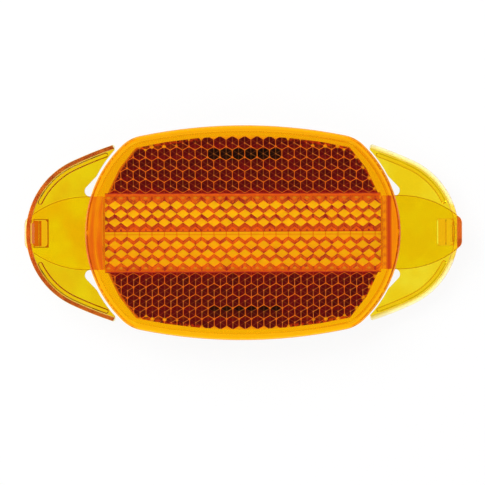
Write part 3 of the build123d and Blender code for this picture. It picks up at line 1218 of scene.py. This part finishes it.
    def mesh(self, finish: Material) -> Mesh:
        """Evaluate the tree into a plain mesh.

        Args:
            finish: Material of the faces.

        Returns:
            The plain mesh.
        """
        tree = self.tree()
        inputs = {**self.sizes(), "Finish": finish}
        holder = bpy.data.objects.new(self.name, bpy.data.meshes.new(self.name))
        bpy.context.scene.collection.objects.link(holder)
        modifier = holder.modifiers.new(self.name, "NODES")
        modifier.node_group = tree
        for item in tree.interface.items_tree:
            if item.in_out == "INPUT":
                modifier[item.identifier] = inputs[item.name]
        graph_state = bpy.context.evaluated_depsgraph_get()
        plain = bpy.data.meshes.new_from_object(holder.evaluated_get(graph_state), depsgraph=graph_state)
        holder.modifiers.remove(modifier)
        bpy.data.objects.remove(holder)
        return plain


@dataclass
class ReflectorPrisms:
    """The prism fields of one moulding, set just inside its plastic as opaque faces that carry painted light
    and shade.
    """

    half: Half
    hex_incline: float = math.degrees(math.asin(1 / math.sqrt(3)))
    hex_row_start: float = 11.2 * MM
    hex_first_row: int = -6
    hex_rows: int = 8
    hex_columns: int = 27
    hex_seed: int = 3
    band_incline: float = 45.5
    band_row_start: float = 0.625 * MM
    band_full_rows: int = 4
    band_first_row: int = -5
    band_rows: int = 6
    band_columns: int = 25
    band_seed: int = 5
    band_mirror_line: float = -0.2 * MM
    band_half_length: float = 32.9 * MM
    strip_level: float = 8.43 * MM
    side_inset: float = 0.02 * MM
    field_facets: int = 7
    cut_reach: float = 1e-8

    def build(self) -> list[Object]:
        """Build the hex fields and the band.

        Returns:
            The two finished pieces.
        """
        lattice = PrismLattice(
            f"{self.half.value}_hex_prisms", self.hex_incline, -self.hex_row_start,
            self.hex_first_row, self.hex_rows, self.hex_columns, self.hex_seed,
        )
        hex_start = self.hex_row_start - lattice.groove_run
        return [self.hex_fields(lattice, hex_start), self.band(hex_start)]

    def hex_fields(self, lattice: PrismLattice, hex_start: float) -> Object:
        """Cut upright prisms to the fields above and below the band.

        Args:
            lattice: The rows of upright cells.
            hex_start: Distance of the fields from the middle.

        Returns:
            The finished piece.
        """
        finish = HexPaintedLight(lattice.edge_length / MM).make(f"{self.half.value}_hex_painted_light")
        cuts = self.field_cuts() + [(Vector((0, -hex_start - self.side_inset, 0)), Vector((0, 1, 0)))]
        return self.assemble(lattice, finish, (cuts, cuts), 0.0, [])

    def band(self, hex_start: float) -> Object:
        """Lay leaning prisms across the middle, with strips that close the gaps beside them.

        Args:
            hex_start: Distance of the hex fields from the middle.

        Returns:
            The finished piece.
        """
        lattice = PrismLattice(
            f"{self.half.value}_band_prisms", self.band_incline, 0.0,
            self.band_first_row, self.band_rows, self.band_columns, self.band_seed, shield_row=True,
        )
        lattice.apex_row = -self.band_row_start - lattice.face_run
        top, middle = lattice.apex_row + 2 * lattice.face_run, self.band_mirror_line
        row_step = lattice.face_run + lattice.groove_run
        outer = self.band_row_start + self.band_full_rows * row_step - self.side_inset
        length = self.band_half_length - self.side_inset
        ends = [(Vector((side * length, 0, 0)), Vector((side, 0, 0))) for side in (-1, 1)]
        ends.append((Vector((0, -outer, 0)), Vector((0, -1, 0))))
        areas = tuple(
            ends + [(Vector((0, level, 0)), Vector((0, 1, 0)))] for level in (top, -self.band_row_start)
        )
        strips = [
            (middle + top, middle + self.band_row_start, Facet.SPLIT),
            (-hex_start, middle - outer, Facet.MARGIN),
            (middle + outer, hex_start, Facet.MARGIN),
        ]
        finish = BandPaintedLight(lattice.edge_length / MM, (top + middle) / MM)
        return self.assemble(lattice, finish.make(f"{self.half.value}_band_painted_light"), areas, middle, strips)

    def field_cuts(self) -> list[Cut]:
        """Planes through the straight facets of the fields' outline.

        Returns:
            A point and an outward direction for each plane.
        """
        side_arc, end_arc = (PLAN.side_arc - PLAN.side_rim) * MM, PLAN.end_arc * MM
        side_y = (PLAN.body_half_width - PLAN.side_rim) * MM - side_arc
        end_x = (PLAN.body_half_length - PLAN.end_rim) * MM - end_arc
        apart = math.hypot(end_x, side_y)
        reach = (side_arc**2 - end_arc**2 + apart**2) / (2 * apart)
        off = math.sqrt(side_arc**2 - reach**2)
        corner_x = end_x / apart * reach - side_y / apart * off
        corner_y = side_y - side_y / apart * reach - end_x / apart * off
        side_turn, end_turn = math.asin(corner_x / side_arc), math.asin(corner_y / end_arc)
        side_flat = side_arc * math.cos(side_turn / self.field_facets) - self.side_inset
        end_flat = end_arc * math.cos(end_turn / self.field_facets) - self.side_inset
        cuts = []
        for step in range(self.field_facets):
            share = (2 * step + 1 - self.field_facets) / self.field_facets
            way = Vector((math.sin(share * side_turn), -math.cos(share * side_turn), 0))
            cuts.append((Vector((0, -side_y, 0)) + way * side_flat, way))
            for sign in (-1, 1):
                way = Vector((sign * math.cos(share * end_turn), math.sin(share * end_turn), 0))
                cuts.append((Vector((sign * end_x, 0, 0)) + way * end_flat, way))
        return cuts

    def assemble(self, lattice: PrismLattice, finish: Material, areas: tuple[list[Cut], ...],
                 shift: float, strips: list[tuple[float, float, Facet]]) -> Object:
        """Cut the lattice to its two areas, mirror one and turn both into place.

        Args:
            lattice: The rows of cells.
            finish: Material of the faces.
            areas: Cutting planes of the lower area, and of the upper one before it is mirrored.
            shift: Move along Y of both areas.
            strips: Lower edge, upper edge and kind of each strip that closes a gap beside the areas.

        Returns:
            The finished piece.
        """
        plain = lattice.mesh(finish)
        shape = bmesh.new()
        for cuts, sign in zip(areas, (1, -1)):
            part = bmesh.new()
            part.from_mesh(plain)
            for point, way in cuts:
                bmesh.ops.bisect_plane(
                    part, geom=part.verts[:] + part.edges[:] + part.faces[:], dist=self.cut_reach,
                    plane_co=point, plane_no=way, clear_outer=True,
                )
            bmesh.ops.transform(part, matrix=Matrix.Diagonal((1, sign, 1, 1)), verts=part.verts)
            part.normal_update()
            bmesh.ops.reverse_faces(part, faces=[face for face in part.faces if face.normal.z < 0])
            holder = bpy.data.meshes.new("part")
            part.to_mesh(holder)
            part.free()
            shape.from_mesh(holder)
            bpy.data.meshes.remove(holder)
        bmesh.ops.translate(shape, vec=Vector((0, shift, 0)), verts=shape.verts)
        for start, end, kind in strips:
            self.strip(shape, start, end, kind)
        turn_to_rear(shape, self.half)
        return add_piece(lattice.name, shape, finish)

    def strip(self, shape: BMesh, start: float, end: float, kind: Facet) -> None:
        """Add a narrow strip along the band, just inside the plate.

        Args:
            shape: The mesh that it is added to.
            start: Level along Y of its lower edge.
            end: Level along Y of its upper edge.
            kind: The kind that its attribute stores.
        """
        reach = self.band_half_length - self.side_inset
        corners = ((-reach, start), (reach, start), (reach, end), (-reach, end))
        face = shape.faces.new([shape.verts.new((x, y, self.strip_level)) for x, y in corners])
        face[shape.faces.layers.float["facet"]] = float(kind.value)


@dataclass
class WeldedLenses:
    """The two mouldings as one closed body, welded where their walls and necks meet."""

    finish: AmberPlastic = field(default_factory=AmberPlastic)
    join: float = 0.001 * MM
    crease: float = 25.0

    def build(self) -> Object:
        """Join copies of both mouldings and take out the faces inside the weld.

        Returns:
            The finished piece.
        """
        shape = bmesh.new()
        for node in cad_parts.values():
            shape.from_mesh(node.data)
        inside = [
            face for face in shape.faces
            if all(abs(vert.co.z - PLAN.mid_level * MM) < self.join for vert in face.verts)
        ]
        bmesh.ops.delete(shape, geom=inside, context="FACES")
        bmesh.ops.remove_doubles(shape, verts=shape.verts, dist=self.join)
        limit = math.radians(self.crease)
        for face in shape.faces:
            face.smooth = True
        for edge in shape.edges:
            edge.smooth = edge.is_manifold and edge.calc_face_angle() < limit
        LOG.info("weld leaves %d open edges", sum(not edge.is_manifold for edge in shape.edges))
        piece = add_piece("welded_lenses", shape, self.finish.make())
        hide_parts("front_lens", "rear_lens")
        return piece


@dataclass
class WingPaintedLightPieces:
    """Opaque rings in the crescents' walls and blocks in the tongues' ends, which carry painted light and
    shade where the plastic gathers light.
    """

    half: Half
    finish: WingPaintedLight = field(default_factory=WingPaintedLight)
    skin: float = 0.08
    tip_skin: float = 0.1
    slant: float = 1.4
    stations: int = 48
    corner_steps: int = 5

    def build(self) -> Object:
        """Build the ring and the block of one moulding.

        Returns:
            The finished piece.
        """
        shape = bmesh.new()
        levels = (PLAN.mid_level + PLAN.wing_gap + self.skin, PLAN.mid_level + PLAN.wing_outer - self.skin)
        self.ring(shape, *levels)
        self.block(shape, *levels)
        bmesh.ops.scale(shape, vec=Vector((MM, MM, MM)), verts=shape.verts)
        turn_to_rear(shape, self.half)
        bmesh.ops.recalc_face_normals(shape, faces=shape.faces)
        return add_piece(f"{self.half.value}_wing_painted_light", shape, self.finish.make())

    def path(self, inset: float, margin: float) -> list[Vector]:
        """Points along a line inside the crescent's outer edge, from tip to tip.

        Args:
            inset: Distance from the outer edge.
            margin: Distance that the line keeps from the slit beside the body, beyond the skin.

        Returns:
            The points.
        """
        turn = math.radians(PLAN.wing_end_turn)
        end = Vector((PLAN.wing_end_arc - PLAN.wing_length, 0))
        gap = PLAN.wing_side_arc - PLAN.wing_end_arc
        side = end + Vector((gap * math.cos(turn), -gap * math.sin(turn)))
        radius = PLAN.wing_side_arc - inset
        apart = Vector((PLAN.end_arc - PLAN.body_half_length, 0)) - side
        reach = PLAN.end_arc + PLAN.slit + self.skin + margin
        lean = math.acos((radius**2 + apart.length_squared - reach**2) / (2 * radius * apart.length))
        short = math.acos((-PLAN.wing_tip_reach - self.tip_skin - margin - side.x) / radius)
        tip, join = max(math.atan2(apart.y, apart.x) + lean, short), math.pi - turn
        upper = []
        for step in range(self.stations):
            angle = tip + (join - tip) * step / self.stations
            upper.append(side + Vector((math.cos(angle), math.sin(angle))) * radius)
        round_end = []
        for step in range(self.stations + 1):
            angle = join + 2 * turn * step / self.stations
            way = Vector((math.cos(angle), math.sin(angle)))
            round_end.append(end + way * (PLAN.wing_end_arc - inset))
        return upper + round_end + [spot * Vector((1, -1)) for spot in reversed(upper)]

    def ring(self, shape: BMesh, low: float, high: float) -> None:
        """Sweep a four-sided section along the crescent's wall.

        Args:
            shape: The mesh that it is added to.
            low: Lower level in millimetres.
            high: Upper level in millimetres.
        """
        before = None
        outer_line = self.path(self.skin, PLAN.wing_tip)
        inner_line = self.path(PLAN.wing_wall - self.skin, 0.0)
        for outside, inside in zip(outer_line, inner_line):
            section = [
                shape.verts.new((point.x, point.y, level))
                for point, level in ((outside, low), (outside, high), (inside, high), (inside, low))
            ]
            if before is None:
                shape.faces.new(section)
            else:
                self.close(shape, before, section)
            before = section
        shape.faces.new(before)

    def block(self, shape: BMesh, low: float, high: float) -> None:
        """Add the block in the tongue's turned-in end.

        Args:
            shape: The mesh that it is added to.
            low: Lower level in millimetres.
            high: Upper level in millimetres.
        """
        turn = math.pi / 2 - 2 * math.atan2(PLAN.tongue_drop, PLAN.tongue_length - PLAN.body_half_length)
        radius = PLAN.tongue_corner - self.skin
        corner_x = PLAN.tongue_length - PLAN.tongue_corner
        corner_y = PLAN.tongue_end_half_width - PLAN.tongue_corner * math.tan(turn / 2)
        start = PLAN.tongue_length - PLAN.tongue_end_wall + self.skin
        fall = math.sqrt(PLAN.tongue_arc**2 - (start - PLAN.body_half_length) ** 2)
        upper = [(start, PLAN.tongue_half_width - PLAN.tongue_arc + fall - self.slant * self.skin)]
        for step in range(self.corner_steps + 1):
            angle = turn * (1 - step / self.corner_steps)
            upper.append((corner_x + radius * math.cos(angle), corner_y + radius * math.sin(angle)))
        outline = upper + [(x, -y) for x, y in reversed(upper)]
        bottom, top = ([shape.verts.new((x, y, level)) for x, y in outline] for level in (low, high))
        shape.faces.new(bottom)
        shape.faces.new(top)
        self.close(shape, bottom, top)

    @staticmethod
    def close(shape: BMesh, before: list, after: list) -> None:
        """Close the sides between two outlines.

        Args:
            shape: The mesh that the sides are added to.
            before: Corners of one outline.
            after: Corners of the other, in the same order.
        """
        for first in range(len(before)):
            second = (first + 1) % len(before)
            shape.faces.new((before[first], before[second], after[second], after[first]))


@dataclass
class Studio:
    """Floor, soft light and the camera that looks straight down."""

    floor_half: float = 2.0
    floor_drop: float = 0.1 * MM
    lamp_place: tuple[float, float, float] = (-0.35, 0.3, 0.55)
    lamp_size: float = 0.5
    lamp_power: float = 3.0
    dark_patch: Span = (0.75, 0.97)
    dark_share: float = 0.96
    view_width: float = 116.4 * MM
    view_centre: Span = (-0.1 * MM, -2.34 * MM)
    view_roll: float = -0.2
    view_level: float = 5.0 * MM
    view_start: float = 0.01
    lens: float = 200.0
    sensor: float = 36.0

    def build(self) -> None:
        """Set up the stage."""
        self.floor()
        self.world()
        self.lamp()
        self.camera()

    def floor(self) -> None:
        """Flat pale floor under the part."""
        mesh = bpy.data.meshes.new("floor")
        reach, low = self.floor_half, -self.floor_drop
        corners = [(-reach, -reach, low), (reach, -reach, low), (reach, reach, low), (-reach, reach, low)]
        mesh.from_pydata(corners, [], [(0, 1, 2, 3)])
        mesh.materials.append(FloorFinish().make())
        sheet = bpy.data.objects.new("floor", mesh)
        bpy.context.scene.collection.objects.link(sheet)

    def world(self) -> None:
        """Soft room light that is darker round the camera."""
        world = bpy.data.worlds.new("studio")
        world.use_nodes = True
        bpy.context.scene.world = world
        graph = Graph(world.node_tree)
        up = graph.parts(graph.place("Generated"))[2]
        level = 1.0 - up.fade(*self.dark_patch) * self.dark_share
        seen = graph.output("ShaderNodeLightPath", None, None, "Is Camera Ray")
        sockets = {"Color": WHITE, "Strength": level + seen * (1.0 - level)}
        glow = graph.output("ShaderNodeBackground", None, sockets)
        graph.node("ShaderNodeOutputWorld", None, {"Surface": glow})

    def lamp(self) -> None:
        """One square soft light that faces the part."""
        data = bpy.data.lights.new("key_light", "AREA")
        data.size = self.lamp_size
        data.energy = self.lamp_power
        light = bpy.data.objects.new("key_light", data)
        light.location = self.lamp_place
        light.rotation_euler = (-Vector(self.lamp_place)).to_track_quat("-Z", "Y").to_euler()
        bpy.context.scene.collection.objects.link(light)

    def camera(self) -> None:
        """Camera straight above, with the photo's framing."""
        data = bpy.data.cameras.new("camera")
        data.lens = self.lens
        data.sensor_width = self.sensor
        data.clip_start = self.view_start
        view = bpy.data.objects.new("camera", data)
        distance = self.view_width / self.sensor * self.lens
        view.location = (*self.view_centre, self.view_level + distance)
        view.rotation_euler = (0.0, 0.0, math.radians(self.view_roll))
        bpy.context.scene.collection.objects.link(view)
        bpy.context.scene.camera = view


def main() -> None:
    """Build the reflector's looks and its stage."""
    logging.basicConfig(level=logging.INFO, format="%(name)s: %(message)s")
    bpy.context.scene.view_settings.view_transform = "Standard"
    pieces = [WeldedLenses().build()]
    for half in Half:
        pieces += [*ReflectorPrisms(half).build(), WingPaintedLightPieces(half).build()]
    for piece in pieces:
        LOG.info("built %s with %d faces", piece.name, len(piece.data.polygons))
    Studio().build()


if __name__ == "__main__":
    main()
